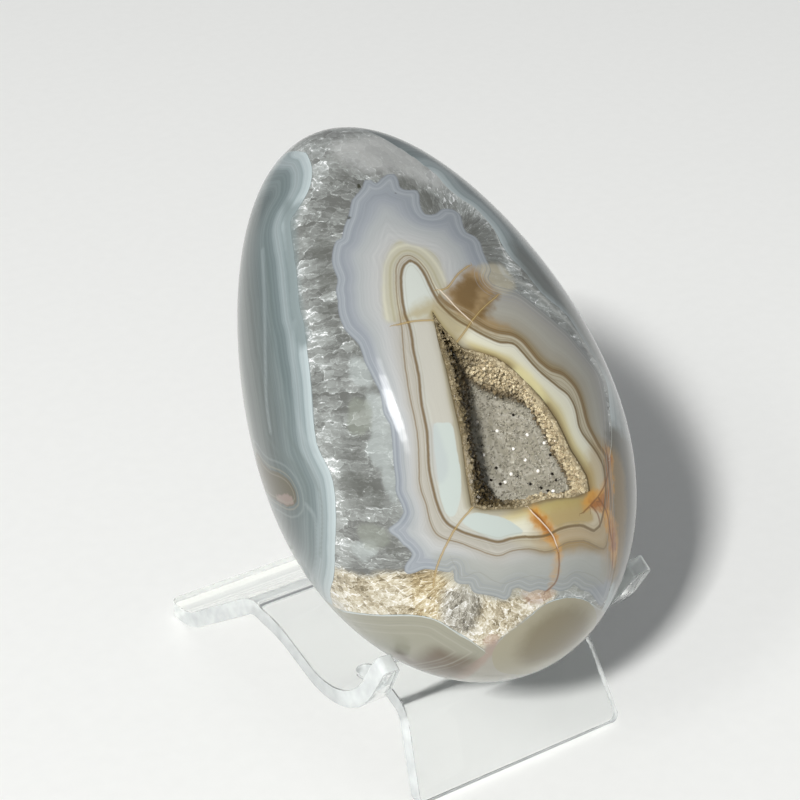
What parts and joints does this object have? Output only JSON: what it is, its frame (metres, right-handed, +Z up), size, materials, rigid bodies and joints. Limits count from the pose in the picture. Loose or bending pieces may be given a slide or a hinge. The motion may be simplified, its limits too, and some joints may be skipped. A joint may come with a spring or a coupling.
{
  "type": "agate egg on an easel stand",
  "caption": "Polished agate egg with an open crystal-lined cavity, leaning back on a one-piece easel stand bent from clear acrylic sheet.",
  "frame": {"origin": "centre of the bounding box, on the surface that the stand rests on", "axes": "+Z up, -Y towards the front, where the cavity opens, and +X to the right seen from the front"},
  "size_m": [0.0576, 0.0838, 0.0932],
  "materials": {
    "polished_agate": "polished, banded grey, lavender, cream and brown",
    "druzy_quartz": "sparkling fine crystals",
    "clear_acrylic": "clear, flame-bright edges"
  },
  "bodies": {
    "root": {"egg": "polished_agate", "cavity_crystals": "druzy_quartz", "stand": "clear_acrylic"}
  },
  "joints": []
}
